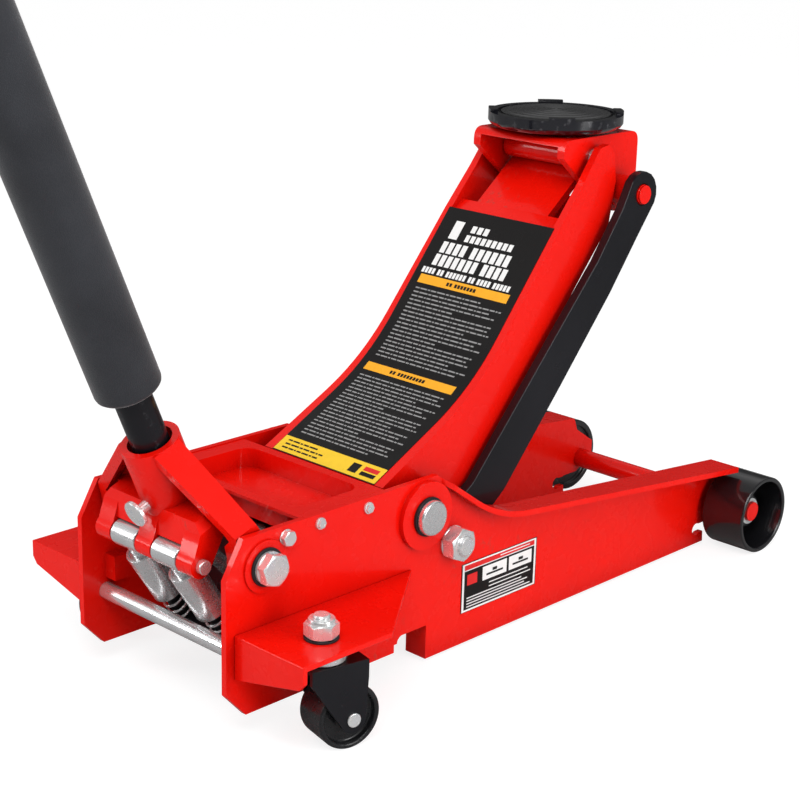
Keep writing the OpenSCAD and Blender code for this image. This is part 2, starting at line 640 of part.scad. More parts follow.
// Return springs of the pistons: close rings on a thin sleeve, one solid each
module pump_springs() color(steel) jack() for (s = [-1, 1]) on_pump(s * pump_y) rotate_extrude() {
    for (i = [0 : spring_turns])
        translate([spring_r, spring_low + i * (pump_face - 1 - wire_r - spring_low) / spring_turns])
            circle(r = wire_r, $fn = 24);
    translate([spring_r - 0.4, spring_low]) square([0.8, pump_face - 1 - wire_r - spring_low]);
}
module filler_plug() color(zinc) jack() translate([block_x + 16, 24, block_z[1] - 10]) {
    cylinder(h = 10, r = 5.9);
    translate([0, 0, 10]) cylinder(h = 5, r = 14 / sqrt(3), $fn = 6);
}
module safety_valve() color(zinc) jack() translate([block_x + 16, -24, block_z[1] - 10]) {
    cylinder(h = 10, r = 5.9);
    translate([0, 0, 10]) cylinder(h = 3, r = 9);
}
// Release valve spindle; its ball lies on the yoke's pivot line
module release_valve() color(steel) jack() translate([pivot.x, 0, pivot.y]) rotate([0, 135, 0]) {
    sphere(r = 9);
    cylinder(h = 78, r = valve_r);
}

// ---------- yoke, handle ----------
yoke_side = plate_in - 2;
hook_in = 11;
hook_side = 46.5;
hook_out = 67;
roller_half = 16.5;
// Place of the roller pin in the yoke's own frame: across and along the handle
roller_e = (roller_at.x - pivot.x) * cos(handle_tilt) + (roller_at.y - pivot.y) * sin(handle_tilt);
roller_h = -(roller_at.x - pivot.x) * sin(handle_tilt) + (roller_at.y - pivot.y) * cos(handle_tilt);
// One outline seen along the yoke's depth, in Y and along the handle's axis
module yoke_depth(from, to) translate([from, 0, 0]) rotate([90, 0, 90]) linear_extrude(to - from) children();
module yoke_arm() {
    polygon([[14, socket_top - 3], [25, socket_top - 1], [yoke_side, 36], [yoke_side, 0], [yoke_side - 18, 0],
        [yoke_side - 18, 24], [yoke_side - 10, 31], [22, 93], [14, 88]]);
}
// The arms seen from the side, narrower below than at the socket
module yoke_arm_side() polygon([[-16, socket_top + 1], [13, socket_top + 1], [11, 36], [17, 12], [17, -1],
    [-17, -1], [-17, 12], [-13, 36]]);
module yoke_web() polygon([[12, 98], [24, 98], [yoke_side - 14, 38], [yoke_side - 18, 22], [60, 22], [44, 26],
    [12, 40]]);
module yoke_boss() bar([0, 0], 19, yoke_side - 20, yoke_side);
// Hook outline seen from the side, from the roof down round the roller pin
roof_rear = -22;
roof_front = -2;
roof_h = 49;
module hook_outline() {
    translate([roller_e, roller_h]) circle(r = 11.5);
    polygon([[roller_e - 11.3, roller_h + 2], [roof_rear - 2, roof_h - 5], [roof_rear, roof_h], [roof_front, roof_h],
        [roof_front, 28], [roller_e + 6, roller_h - 9.8]]);
}
module yoke() color(red) jack() on_handle() difference() {
    union() {
        translate([0, 0, socket_low]) cylinder(h = socket_top - socket_low, r = socket_r);
        mirrored() {
            intersection() {
                yoke_depth(-20, 20) yoke_arm();
                slab(0, yoke_side) yoke_arm_side();
            }
            yoke_depth(3, 11) yoke_web();
            yoke_boss();
            // Outer hook, and the roof over the roller with its outer corner cut away
            intersection() {
                union() {
                    slab(hook_side, hook_out) hook_outline();
                    slab(hook_in - 2, hook_out) polygon([[roller_e + 2.6, roller_h + roller_r + 1.5],
                        [roof_rear, roof_h], [roof_front, roof_h], [roof_front, 30],
                        [roller_e + 15, roller_h + roller_r + 2]]);
                }
                yoke_depth(-70, 20) polygon([[0, roof_h + 1], [hook_out - 9, roof_h + 1], [hook_out, roof_h - 8],
                    [hook_out, -10], [0, -10]]);
            }
        }
        slab(-hook_in + 0.5, hook_in - 0.5) hook_outline();
        yoke_depth(-4, 11) polygon([[-80, 22], [80, 22], [76, 40], [-76, 40]]);
    }
    translate([0, 0, socket_low - 5]) cylinder(h = socket_top, r = tube_r + fit);
    translate([0, 0, socket_top - mouth_h]) cylinder(h = mouth_h + 1, r = mouth_r);
    bar([roller_e, roller_h], roller_pin_r + fit, -80, 80);
    mirrored() bar([0, 0], yoke_bolt_r + fit, yoke_side - 30, yoke_side + 5);
    translate([-lock_reach, 0, lock_h]) rotate([0, 90, 0]) cylinder(h = lock_reach, r = lock_r);
}
roller_pin_r = 5;
mouth_h = 16;
mouth_r = socket_r - 6.5;
lock_h = 52;
lock_r = 5;
lock_reach = 38;
module roller_pin() color(steel) jack() {
    bar(roller_at, roller_pin_r, -hook_out - 6, hook_out + 6);
    mirrored() bar(roller_at, 6.5, hook_out, hook_out + 6);
}
module roller(side) color(steel) jack() mirror([0, side < 0 ? 1 : 0, 0])
    tube(roller_at, roller_r, roller_pin_r + fit, hook_in + 1, hook_in + 1 + 2 * roller_half);
module roller_right() roller(-1);
module roller_left() roller(1);
module lock_bolt() color(zinc) jack() on_handle() {
    translate([-lock_reach, 0, lock_h]) rotate([0, 90, 0]) cylinder(h = lock_reach - tube_r - 0.3, r = lock_r);
    translate([-lock_reach - 4, 0, lock_h]) rotate([0, 90, 0]) cylinder(h = 4.5, r = 12.5);
}
// Handle: lower tube, a narrower spigot on the upper tube, and a spring button
tube_wall = 3;
spigot = 90;
module lower_tube() color(black) jack() on_handle() difference() {
    translate([0, 0, tube_low]) cylinder(h = joint_at - tube_low, r = tube_r);
    translate([0, 0, tube_low + 30]) cylinder(h = joint_at, r = tube_r - tube_wall);
    translate([0, 0, button_at]) rotate([0, 90, 0]) cylinder(h = 60, r = 5 + fit);
}
module upper_tube() color(black) jack() on_handle() difference() {
    union() {
        translate([0, 0, joint_at + 0.5]) cylinder(h = handle_len - joint_at - 5, r = tube_r);
        translate([0, 0, joint_at - spigot]) cylinder(h = spigot + 4, r = tube_r - tube_wall - fit);
    }
    translate([0, 0, joint_at - spigot - 1]) cylinder(h = handle_len - joint_at + spigot - 20, r = tube_r - 2 * tube_wall);
    translate([0, 0, button_at]) rotate([0, 90, 0]) cylinder(h = 60, r = 5);
}
module spring_button() color(zinc) jack() on_handle() translate([tube_r - tube_wall - 3, 0, button_at])
    rotate([0, 90, 0]) cylinder(h = tube_wall + 5, r = 5 - fit);
module foam_sleeve() color(rubber) jack() on_handle() difference() {
    translate([0, 0, foam_low]) cylinder(h = foam_high - foam_low, r = foam_r);
    translate([0, 0, foam_low - 1]) cylinder(h = foam_high, r = tube_r + 0.2);
}
module end_grip() color(rubber) jack() on_handle() difference() {
    translate([0, 0, handle_len - grip_len]) cylinder(h = grip_len, r = grip_r);
    translate([0, 0, handle_len - grip_len - 1]) cylinder(h = grip_len - 3.5, r = tube_r);
}
decal_x = [296, 407];
decal_z = [35, 86];
module side_decal() color(black) jack() translate([decal_x[0], -plate_out - 0.4, decal_z[0]])
    cube([decal_x[1] - decal_x[0], 0.4, decal_z[1] - decal_z[0]]);

side_plate_right();
side_plate_left();
caster_bracket_right();
caster_bracket_left();
rear_tie_rod();
front_axle();
wheel_rings();
front_wheel_right();
front_wheel_left();
main_shaft();
shaft_rings();
link_studs();
link_nuts();
tool_tray();
tray_screws();
unit_bolts();
caster_studs();
caster_washers();
caster_nuts();
swivel_bearings();
caster_fork_right();
caster_fork_left();
caster_axle_right();
caster_axle_left();
caster_wheel_right();
caster_wheel_left();
lift_arm();
arm_pin();
ram_cross_bar();
arm_decal();
saddle_carrier();
link_pins();
link_right();
link_left();
saddle();
saddle_pad();
hydraulic_block();
reservoir();
ram_cylinder();
ram_piston();
pump_barrels();
pump_plungers();
spring_cups();
pump_springs();
filler_plug();
safety_valve();
release_valve();
yoke();
yoke_bolts();
yoke_washers();
roller_pin();
roller_right();
roller_left();
lock_bolt();
lower_tube();
upper_tube();
foam_sleeve();
end_grip();
spring_button();
side_decal();
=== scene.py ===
"""The looks of a hydraulic floor jack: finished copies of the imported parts, springs, labels and materials.

Lengths are in metres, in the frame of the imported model: +X to the front wheels, +Y left, +Z up.
"""
import json
import math

import bmesh
import bpy
from mathutils import Matrix, Vector
from mathutils.bvhtree import BVHTree


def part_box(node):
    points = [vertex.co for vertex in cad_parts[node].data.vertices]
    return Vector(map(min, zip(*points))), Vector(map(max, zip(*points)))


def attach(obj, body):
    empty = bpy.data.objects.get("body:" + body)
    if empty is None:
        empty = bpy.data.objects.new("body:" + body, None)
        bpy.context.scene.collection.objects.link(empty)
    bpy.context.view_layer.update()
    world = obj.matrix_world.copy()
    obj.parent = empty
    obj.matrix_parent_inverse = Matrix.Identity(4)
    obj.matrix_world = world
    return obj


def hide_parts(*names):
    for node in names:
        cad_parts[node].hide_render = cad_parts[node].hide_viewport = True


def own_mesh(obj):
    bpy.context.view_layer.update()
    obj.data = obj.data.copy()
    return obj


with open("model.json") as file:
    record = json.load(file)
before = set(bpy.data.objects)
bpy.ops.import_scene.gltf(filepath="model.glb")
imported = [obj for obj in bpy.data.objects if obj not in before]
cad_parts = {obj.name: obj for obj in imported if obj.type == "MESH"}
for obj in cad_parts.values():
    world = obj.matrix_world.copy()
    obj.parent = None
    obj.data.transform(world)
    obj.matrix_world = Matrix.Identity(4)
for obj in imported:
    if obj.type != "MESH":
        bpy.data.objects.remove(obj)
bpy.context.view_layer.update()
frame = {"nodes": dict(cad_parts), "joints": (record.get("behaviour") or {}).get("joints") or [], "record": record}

MM = 0.001
BODY_OF = {n: b for b, nodes in frame["record"]["behaviour"]["bodies"].items() for n in nodes}
SLOT_OF = {s["node"]: s["material_slot"] for s in frame["record"]["subparts"]}
JOINT = {j["name"]: j for j in frame["joints"]}


# ---------- places taken from the frame ----------
def joint_point(name):
    return Vector(JOINT[name]["pos_m"])


def joint_axis(name):
    return Vector(JOINT[name]["axis"]).normalized()


def middle(node):
    low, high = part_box(node)
    return (low + high) / 2


def on_centre_plane(point):
    return Vector((point.x, 0, point.z))


UP = Vector((0, 0, 1))
SIDEWAYS = (Vector((0, -1, 0)), Vector((0, 1, 0)))
shaft_at = joint_point("arm_lift")
arm_pin_at = joint_point("saddle_level")
pump_axis = joint_axis("pump_stroke")
handle_pivot = joint_point("handle_pump")
roller_at = joint_point("roller_right_spin")
plate_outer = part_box("rear_tie_rod")[1].y


# ---------- camera, floor and light ----------
FLOOR_REACH = 12
CAMERA_AT = Vector((-1089.2, -1187.6, 759.45)) * MM
CAMERA_HEADING = math.radians(-46.03)
CAMERA_DROP = math.radians(17.37)
CAMERA_ROLL = math.radians(1.41)
CAMERA_LENS = 82.18


def make_camera():
    """The view from behind and to the right of the jack, at hip height."""
    back = Vector((math.sin(CAMERA_HEADING) * math.cos(CAMERA_DROP),
                   -math.cos(CAMERA_HEADING) * math.cos(CAMERA_DROP), math.sin(CAMERA_DROP)))
    right = Vector((math.cos(CAMERA_HEADING), math.sin(CAMERA_HEADING), 0))
    up = back.cross(right)
    right_rolled = right * math.cos(CAMERA_ROLL) + up * math.sin(CAMERA_ROLL)
    up_rolled = back.cross(right_rolled)
    data = bpy.data.cameras.new("camera")
    data.lens = CAMERA_LENS
    data.sensor_width = 36
    data.clip_end = 60
    camera = bpy.data.objects.new("camera", data)
    camera.matrix_world = Matrix((right_rolled, up_rolled, back)).transposed().to_4x4()
    camera.location = CAMERA_AT
    bpy.context.scene.collection.objects.link(camera)
    bpy.context.scene.camera = camera


def make_floor():
    """A wide white floor that glows for the camera and takes a faint shadow."""
    mesh = bpy.data.meshes.new("floor")
    corners = [(x * FLOOR_REACH, y * FLOOR_REACH, 0) for x, y in ((-1, -1), (1, -1), (1, 1), (-1, 1))]
    mesh.from_pydata(corners, [], [(0, 1, 2, 3)])
    floor = bpy.data.objects.new("floor", mesh)
    bpy.context.scene.collection.objects.link(floor)
    material = bpy.data.materials.new("floor")
    material.use_nodes = True
    nodes, links = material.node_tree.nodes, material.node_tree.links
    shader = nodes["Principled BSDF"]
    shader.inputs["Roughness"].default_value = 0.8
    shader.inputs["Specular IOR Level"].default_value = 0.1
    # White to the camera and to soft light, but dim in glossy reflections, so colours stay deep
    rays = nodes.new("ShaderNodeLightPath")
    kind = nodes.new("ShaderNodeMath")
    kind.operation = "MAXIMUM"
    links.new(rays.outputs["Is Glossy Ray"], kind.inputs[0])
    links.new(rays.outputs["Is Camera Ray"], kind.inputs[1])
    tone = nodes.new("ShaderNodeMapRange")
    tone.inputs["To Min"].default_value = 0.80
    tone.inputs["To Max"].default_value = 0.28
    links.new(kind.outputs[0], tone.inputs["Value"])
    links.new(tone.outputs["Result"], shader.inputs["Base Color"])
    glow = nodes.new("ShaderNodeMath")
    glow.operation = "MULTIPLY"
    glow.inputs[1].default_value = 0.82
    links.new(rays.outputs["Is Camera Ray"], glow.inputs[0])
    shader.inputs["Emission Color"].default_value = (1, 1, 1, 1)
    links.new(glow.outputs[0], shader.inputs["Emission Strength"])
    mesh.materials.append(material)


def area_light(name, at, towards, size, power):
    data = bpy.data.lights.new(name, "AREA")
    data.shape = "RECTANGLE"
    data.size, data.size_y = size
    data.energy = power
    light = bpy.data.objects.new(name, data)
    light.location = at
    light.rotation_euler = (Vector(towards) - Vector(at)).to_track_quat("-Z", "Y").to_euler()
    bpy.context.scene.collection.objects.link(light)


def make_lights():
    """Soft white light from all round, with a dim room and bright panels in the reflections."""
    world = bpy.data.worlds.new("studio")
    world.use_nodes = True
    nodes, links = world.node_tree.nodes, world.node_tree.links
    place = nodes.new("ShaderNodeTexCoord")
    parts = nodes.new("ShaderNodeSeparateXYZ")
    links.new(place.outputs["Generated"], parts.inputs[0])
    room = nodes.new("ShaderNodeValToRGB")
    while len(room.color_ramp.elements) < 4:
        room.color_ramp.elements.new(0.5)
    shades = ((0.05, 0.05), (0.40, 0.12), (0.66, 0.95), (0.92, 0.30))
    for element, (at, shade) in zip(room.color_ramp.elements, shades):
        element.position = at
        element.color = (shade, shade, shade, 1)
    links.new(parts.outputs["Z"], room.inputs["Fac"])
    rays = nodes.new("ShaderNodeLightPath")
    mix = nodes.new("ShaderNodeMix")
    mix.data_type = "RGBA"
    links.new(rays.outputs["Is Glossy Ray"], mix.inputs["Factor"])
    first, second = [i for i in mix.inputs if i.type == "RGBA"]
    first.default_value = (1, 1, 1, 1)
    links.new(room.outputs["Color"], second)
    background = nodes["Background"]
    links.new([o for o in mix.outputs if o.type == "RGBA"][0], background.inputs["Color"])
    background.inputs["Strength"].default_value = 0.62
    bpy.context.scene.world = world
    area_light("key", (-1.4, -1.2, 2.4), (0.1, 0, 0.2), (1.2, 1.2), 34)
    area_light("side", (0.4, -2.6, 1.0), (0.1, 0, 0.3), (0.8, 1.8), 30)
    area_light("rear", (-1.8, 1.6, 1.2), (0, 0, 0.3), (0.4, 1.6), 16)
    bpy.context.scene.view_settings.view_transform = "Standard"


# ---------- materials ----------
class Surface:
    """A node material with a principled shader, and short names for the nodes that feed it."""

    def __init__(self, name, roughness, metallic=0.0, **sockets):
        self.material = bpy.data.materials.new(name)
        self.material.use_nodes = True
        self.nodes = self.material.node_tree.nodes
        self.links = self.material.node_tree.links
        self.shader = self.nodes["Principled BSDF"]
        self.shader.inputs["Roughness"].default_value = roughness
        self.shader.inputs["Metallic"].default_value = metallic
        for socket, value in sockets.items():
            self.shader.inputs[socket.replace("_", " ")].default_value = value
        self.place = self.nodes.new("ShaderNodeTexCoord").outputs["Object"]
        self.height = None

    def new(self, kind, **settings):
        node = self.nodes.new("ShaderNode" + kind)
        for key, value in settings.items():
            setattr(node, key, value)
        return node

    def stretched(self, scale):
        mapping = self.new("Mapping")
        self.links.new(self.place, mapping.inputs["Vector"])
        mapping.inputs["Scale"].default_value = scale
        return mapping.outputs["Vector"]

    def noise(self, scale, detail=3.0, stretch=None, rough=0.5):
        node = self.new("TexNoise")
        self.links.new(self.stretched(stretch) if stretch else self.place, node.inputs["Vector"])
        node.inputs["Scale"].default_value = scale
        node.inputs["Detail"].default_value = detail
        node.inputs["Roughness"].default_value = rough
        return node.outputs["Fac"]

    def grains(self, scale):
        node = self.new("TexVoronoi", feature="F1")
        self.links.new(self.place, node.inputs["Vector"])
        node.inputs["Scale"].default_value = scale
        return node.outputs["Distance"]

    def spread(self, source, low, high, to_low=0.0, to_high=1.0):
        node = self.new("MapRange")
        self.links.new(source, node.inputs["Value"])
        for socket, value in (("From Min", low), ("From Max", high), ("To Min", to_low), ("To Max", to_high)):
            node.inputs[socket].default_value = value
        return node.outputs["Result"]

    def colours(self, source, stops):
        node = self.new("ValToRGB")
        self.links.new(source, node.inputs["Fac"])
        ramp = node.color_ramp
        while len(ramp.elements) < len(stops):
            ramp.elements.new(0.5)
        for element, (position, colour) in zip(ramp.elements, stops):
            element.position = position
            element.color = (*colour, 1)
        return node.outputs["Color"]

    def mixed(self, factor, first, second):
        node = self.new("Mix", data_type="RGBA")
        self.links.new(factor, node.inputs["Factor"])
        for socket, value in (("A", first), ("B", second)):
            target = [s for s in node.inputs if s.name == socket and s.type == "RGBA"][0]
            if isinstance(value, tuple):
                target.default_value = (*value, 1)
            else:
                self.links.new(value, target)
        return [s for s in node.outputs if s.type == "RGBA"][0]

    def edges(self, low=0.52, high=0.60):
        return self.spread(self.new("NewGeometry").outputs["Pointiness"], low, high)

    def colour(self, source):
        self.links.new(source, self.shader.inputs["Base Color"])

    def roughness(self, source):
        self.links.new(source, self.shader.inputs["Roughness"])

    def bump(self, source, strength, distance):
        node = self.new("Bump")
        node.inputs["Strength"].default_value = strength
        node.inputs["Distance"].default_value = distance
        self.links.new(source, node.inputs["Height"])
        if self.height:
            self.links.new(self.height, node.inputs["Normal"])
        self.height = node.outputs["Normal"]
        self.links.new(self.height, self.shader.inputs["Normal"])


def painted(name, colour, deep, roughness, coat, chips=(0.05, 0.05, 0.055), gloss=0.16):
    """Baked enamel: a faint orange peel, soft clouds in the tone, painted shade that darkens the corners and
    recesses, and rubbed edges.
    """
    s = Surface(name, roughness, Coat_Weight=coat, Coat_Roughness=0.06, Specular_IOR_Level=gloss)
    cloud = s.noise(7, 4)
    unshaded_tone = s.colours(cloud, [(0.3, deep), (0.7, colour)])
    # Painted shade: where ambient occlusion finds corners and recesses, the colour darkens towards half the deep
    # tone
    painted_shade = s.new("AmbientOcclusion", samples=6)
    painted_shade.inputs["Distance"].default_value = 0.05
    base = s.mixed(s.spread(painted_shade.outputs["AO"], 0.15, 0.75), tuple(c * 0.50 for c in deep), unshaded_tone)
    worn = s.new("Math", operation="MULTIPLY")
    s.links.new(s.edges(0.60, 0.70), worn.inputs[0])
    s.links.new(s.spread(s.noise(160, 5), 0.56, 0.70), worn.inputs[1])
    s.colour(s.mixed(worn.outputs[0], base, chips))
    s.roughness(s.spread(s.noise(45, 5), 0.3, 0.75, roughness * 0.9, roughness * 1.2))
    s.bump(s.noise(260, 2), 0.06, 0.0002)
    s.bump(s.noise(32, 2), 0.02, 0.0008)
    return s.material


def turned_steel(name, colour, roughness, stretch):
    """Machined steel: fine lathe lines across the axis, with small smudges."""
    s = Surface(name, roughness, 0.82)
    lines = s.noise(420, 2, stretch)
    s.colour(s.mixed(s.spread(s.noise(40, 4), 0.35, 0.7), tuple(c * 0.90 for c in colour), colour))
    s.roughness(s.spread(lines, 0.2, 0.8, roughness * 0.8, roughness * 1.3))
    s.bump(lines, 0.02, 0.00005)
    return s.material


def zinc_plated(name):
    """Bright zinc: a bluish and yellowish tint that drifts, with a fine matt grain."""
    s = Surface(name, 0.28, 0.70)
    s.colour(s.colours(s.noise(55, 3), [(0.3, (0.80, 0.84, 0.88)), (0.55, (0.90, 0.91, 0.90)),
                                        (0.75, (0.86, 0.88, 0.92))]))
    s.roughness(s.spread(s.noise(220, 4), 0.3, 0.7, 0.20, 0.30))
    s.bump(s.noise(300, 3), 0.02, 0.00005)
    return s.material


def foam_rubber(name):
    """Closed-cell foam: tiny open pores and a soft, chalky sheen."""
    s = Surface(name, 0.8, Specular_IOR_Level=0.3, Sheen_Weight=0.30, Sheen_Roughness=0.4)
    cells = s.grains(900)
    s.colour(s.mixed(s.spread(s.noise(14, 4), 0.3, 0.7), (0.018, 0.019, 0.023), (0.030, 0.032, 0.038)))
    s.roughness(s.spread(cells, 0.0, 0.7, 0.62, 0.9))
    s.bump(cells, 0.35, 0.0004)
    s.bump(s.noise(60, 3), 0.12, 0.0015)
    return s.material


def moulded_rubber(name, shade, coat=0.0):
    """Moulded rubber: a fine matt grain, with a painted highlight that makes the sharp edges paler."""
    s = Surface(name, 0.6, Specular_IOR_Level=0.4, Coat_Weight=coat, Coat_Roughness=0.15)
    tone = s.mixed(s.spread(s.noise(30, 4), 0.3, 0.7), (shade, shade, shade * 1.1),
                   (shade * 1.7, shade * 1.7, shade * 1.85))
    # Painted highlight: sharp edges, found by pointiness, are made three times paler than the tone
    s.colour(s.mixed(s.edges(), tone, (shade * 3, shade * 3, shade * 3.1)))
    s.roughness(s.spread(s.noise(90, 4), 0.3, 0.7, 0.45, 0.7))
    s.bump(s.noise(700, 2), 0.2, 0.0003)
    return s.material


def nylon(name):
    """Hard glossy nylon: smooth, with faint mould flow and scuffs on the tread."""
    s = Surface(name, 0.25, Specular_IOR_Level=0.5)
    s.colour(s.colours(s.noise(24, 5), [(0.3, (0.006, 0.006, 0.007)), (0.75, (0.016, 0.016, 0.018))]))
    s.roughness(s.spread(s.noise(80, 6), 0.35, 0.75, 0.16, 0.42))
    s.bump(s.noise(140, 4), 0.08, 0.0005)
    return s.material


def printed(name, colour, roughness=0.3):
    """Label film: flat ink with a faint grain and a soft gloss."""
    s = Surface(name, roughness, Specular_IOR_Level=0.25)
    s.colour(s.mixed(s.spread(s.noise(120, 4), 0.3, 0.7), tuple(c * 0.93 for c in colour), colour))
    s.roughness(s.spread(s.noise(70, 3), 0.3, 0.7, roughness * 0.8, roughness * 1.25))
    s.bump(s.noise(500, 2), 0.05, 0.0002)
    return s.material


ALONG_Y = (1, 0.02, 1)
MATERIAL = {
    "red_paint": painted("red_enamel", (0.84, 0.006, 0.001), (0.77, 0.004, 0.001), 0.26, 0.30,
                         chips=(0.60, 0.03, 0.02)),
    "black_paint": painted("black_enamel", (0.010, 0.010, 0.013), (0.006, 0.006, 0.008), 0.30, 0.30),
    "wheel_black": painted("wheel_enamel", (0.010, 0.010, 0.012), (0.006, 0.006, 0.007), 0.22, 0.8,
                           gloss=0.5),
    "saddle_black": painted("saddle_enamel", (0.008, 0.008, 0.012), (0.005, 0.005, 0.008), 0.16, 0.9,
                            gloss=0.5),
    "bright_steel": turned_steel("bright_steel", (0.90, 0.91, 0.92), 0.24, ALONG_Y),
    "zinc_plate": zinc_plated("zinc_plate"),
    "oxide_steel": painted("oxide_steel", (0.03, 0.03, 0.033), (0.015, 0.015, 0.017), 0.4, 0.1),
    "foam": foam_rubber("foam_rubber"),
    "grip_rubber": moulded_rubber("grip_rubber", 0.014),
    "pad_rubber": moulded_rubber("pad_rubber", 0.009, 0.9),
    "caster_plastic": nylon("caster_nylon"),
    "label": printed("label_black", (0.007, 0.006, 0.006)),
}
INK = {
    "white": printed("ink_white", (0.86, 0.86, 0.85)),
    "grey": printed("ink_grey", (0.30, 0.30, 0.30)),
    "amber": printed("ink_amber", (0.93, 0.42, 0.02)),
    "yellow": printed("ink_yellow", (0.92, 0.60, 0.03)),
    "red": printed("ink_red", (0.72, 0.02, 0.02)),
    "black": printed("ink_black", (0.008, 0.007, 0.007)),
}


# ---------- mesh helpers ----------
def add_piece(name, mesh, material, body, replaces=()):
    """Links a mesh as a piece that rides on a body and stands for the CAD nodes it replaces."""
    piece = bpy.data.objects.new(name, mesh)
    bpy.context.scene.collection.objects.link(piece)
    mesh.materials.clear()
    mesh.materials.append(material)
    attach(piece, body)
    if replaces:
        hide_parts(*replaces)
    return piece


def mesh_of(shape, name, angle):
    """Turns a bmesh into a mesh that is shaded smooth up to an angle in degrees."""
    bmesh.ops.recalc_face_normals(shape, faces=shape.faces)
    mesh = bpy.data.meshes.new(name)
    shape.to_mesh(mesh)
    shape.free()
    smooth_by_angle(mesh, math.radians(angle))
    return mesh


def round_edges(piece, width, segments, angle):
    """Rounds every edge that is sharper than an angle in degrees."""
    bevel = piece.modifiers.new("edge", "BEVEL")
    bevel.width = width * MM
    bevel.segments = segments
    bevel.limit_method = "ANGLE"
    bevel.angle_limit = math.radians(angle)
    bevel.harden_normals = True
    bevel.use_clamp_overlap = True


def smooth_by_angle(mesh, angle):
    """Smooth faces with sharp edges wherever the surface turns by more than angle."""
    shape = bmesh.new()
    shape.from_mesh(mesh)
    for face in shape.faces:
        face.smooth = True
    for edge in shape.edges:
        if len(edge.link_faces) == 2:
            edge.smooth = edge.calc_face_angle(0) < angle
    shape.to_mesh(mesh)
    shape.free()


def add_finish(node, mesh):
    """Links the mesh that stands for one CAD node, with that node's body and material."""
    return add_piece(node + "_finish", mesh, MATERIAL[SLOT_OF[node]], BODY_OF[node], [node])


def finished(node, width, segments=2, angle=32):
    """A copy of a CAD node with welded facets and rounded edges, which stands for the node."""
    mesh = frame["nodes"][node].data.copy()
    mesh.name = node + "_finish"
    shape = bmesh.new()
    shape.from_mesh(mesh)
    bmesh.ops.remove_doubles(shape, verts=shape.verts, dist=0.02 * MM)
    bmesh.ops.dissolve_limit(shape, angle_limit=math.radians(0.4), verts=shape.verts, edges=shape.edges)
    shape.to_mesh(mesh)
    shape.free()
    smooth_by_angle(mesh, math.radians(angle))
    piece = add_finish(node, mesh)
    round_edges(piece, width, segments, angle)
    return piece


# ---------- the finished parts ----------
# Rounding of each CAD node's edges, in millimetres
EDGE_WIDTHS = {
    "side_plate_right": 1.2, "side_plate_left": 1.2, "caster_bracket_right": 1.6, "caster_bracket_left": 1.6,
    "lift_arm": 1.6, "saddle_carrier": 2.0, "yoke": 1.6, "tool_tray": 1.0, "link_right": 1.2, "link_left": 1.2,
    "front_axle": 0.8, "link_pins": 0.8, "saddle": 1.5, "hydraulic_block": 1.5, "reservoir": 1.5,
    "ram_cylinder": 1.0, "caster_fork_right": 0.8, "caster_fork_left": 0.8, "front_wheel_right": 1.5,
    "front_wheel_left": 1.5, "caster_wheel_right": 2.0, "caster_wheel_left": 2.0,
    "lower_tube": 0.8, "upper_tube": 0.8, "foam_sleeve": 5.0, "end_grip": 4.0, "main_shaft": 1.2,
    "roller_right": 1.0, "roller_left": 1.0, "roller_pin": 1.8, "lock_bolt": 1.2, "rear_tie_rod": 0.8,
    "spring_cups": 0.8, "yoke_washers": 0.4, "tray_screws": 0.3, "caster_washers": 0.4,
    "caster_axle_right": 0.8, "caster_axle_left": 0.8, "swivel_bearings": 1.0, "shaft_rings": 0.5,
    "wheel_rings": 0.4, "arm_pin": 1.0, "ram_cross_bar": 1.0, "ram_piston": 1.0, "pump_barrels": 0.6,
    "pump_plungers": 0.6, "filler_plug": 0.5, "safety_valve": 0.5, "release_valve": 0.5,
    "spring_button": 0.8,
}


def make_finished_parts():
    """Finished copies of the plain nodes. The saddle has a deeper gloss, and the labels keep their CAD mesh."""
    for node, width in EDGE_WIDTHS.items():
        piece = finished(node, width, 3 if width >= 1.2 else 2)
        if node == "saddle":
            piece.data.materials[0] = MATERIAL["saddle_black"]
    for node in ("arm_decal", "side_decal"):
        frame["nodes"][node].data.materials.clear()
        frame["nodes"][node].data.materials.append(MATERIAL["label"])


# ---------- bolts and nuts ----------
THREAD_PITCH, THREAD_DEPTH, THREAD_TAIL = 1.75 * MM, 0.9 * MM, 1.5 * MM
YOKE_BOLT_R, YOKE_COLLAR_R, YOKE_HEAD_ACROSS = 10 * MM, 15 * MM, 27 * MM
YOKE_GAP = 2 * MM
LINK_STUD_R, LINK_FLANGE_R, LINK_NUT_ACROSS = 10 * MM, 16 * MM, 30 * MM
UNIT_BOLT_R, UNIT_COLLAR_R, UNIT_HEAD_ACROSS = 4 * MM, 7.5 * MM, 13 * MM
CASTER_STUD_R, CASTER_HEAD_R, CASTER_NUT_ACROSS = 8 * MM, 13 * MM, 27 * MM


def lathe(shape, at, axis, profile, steps=40):
    """Adds a closed turned body. profile holds (distance along the axis, radius) in order."""
    side = axis.orthogonal().normalized()
    other = axis.cross(side)
    turns = [2 * math.pi * k / steps for k in range(steps)]
    round_way = [side * math.cos(turn) + other * math.sin(turn) for turn in turns]
    skin(shape, [[shape.verts.new(at + axis * along + way * radius) for way in round_way]
                 for along, radius in profile])


def skin(shape, rings):
    """Faces between rings of the same count, with a cap at both ends."""
    steps = len(rings[0])
    for low, high in zip(rings, rings[1:]):
        for k in range(steps):
            shape.faces.new((low[k], low[(k + 1) % steps], high[(k + 1) % steps], high[k]))
    shape.faces.new(rings[0][::-1])
    shape.faces.new(rings[-1])


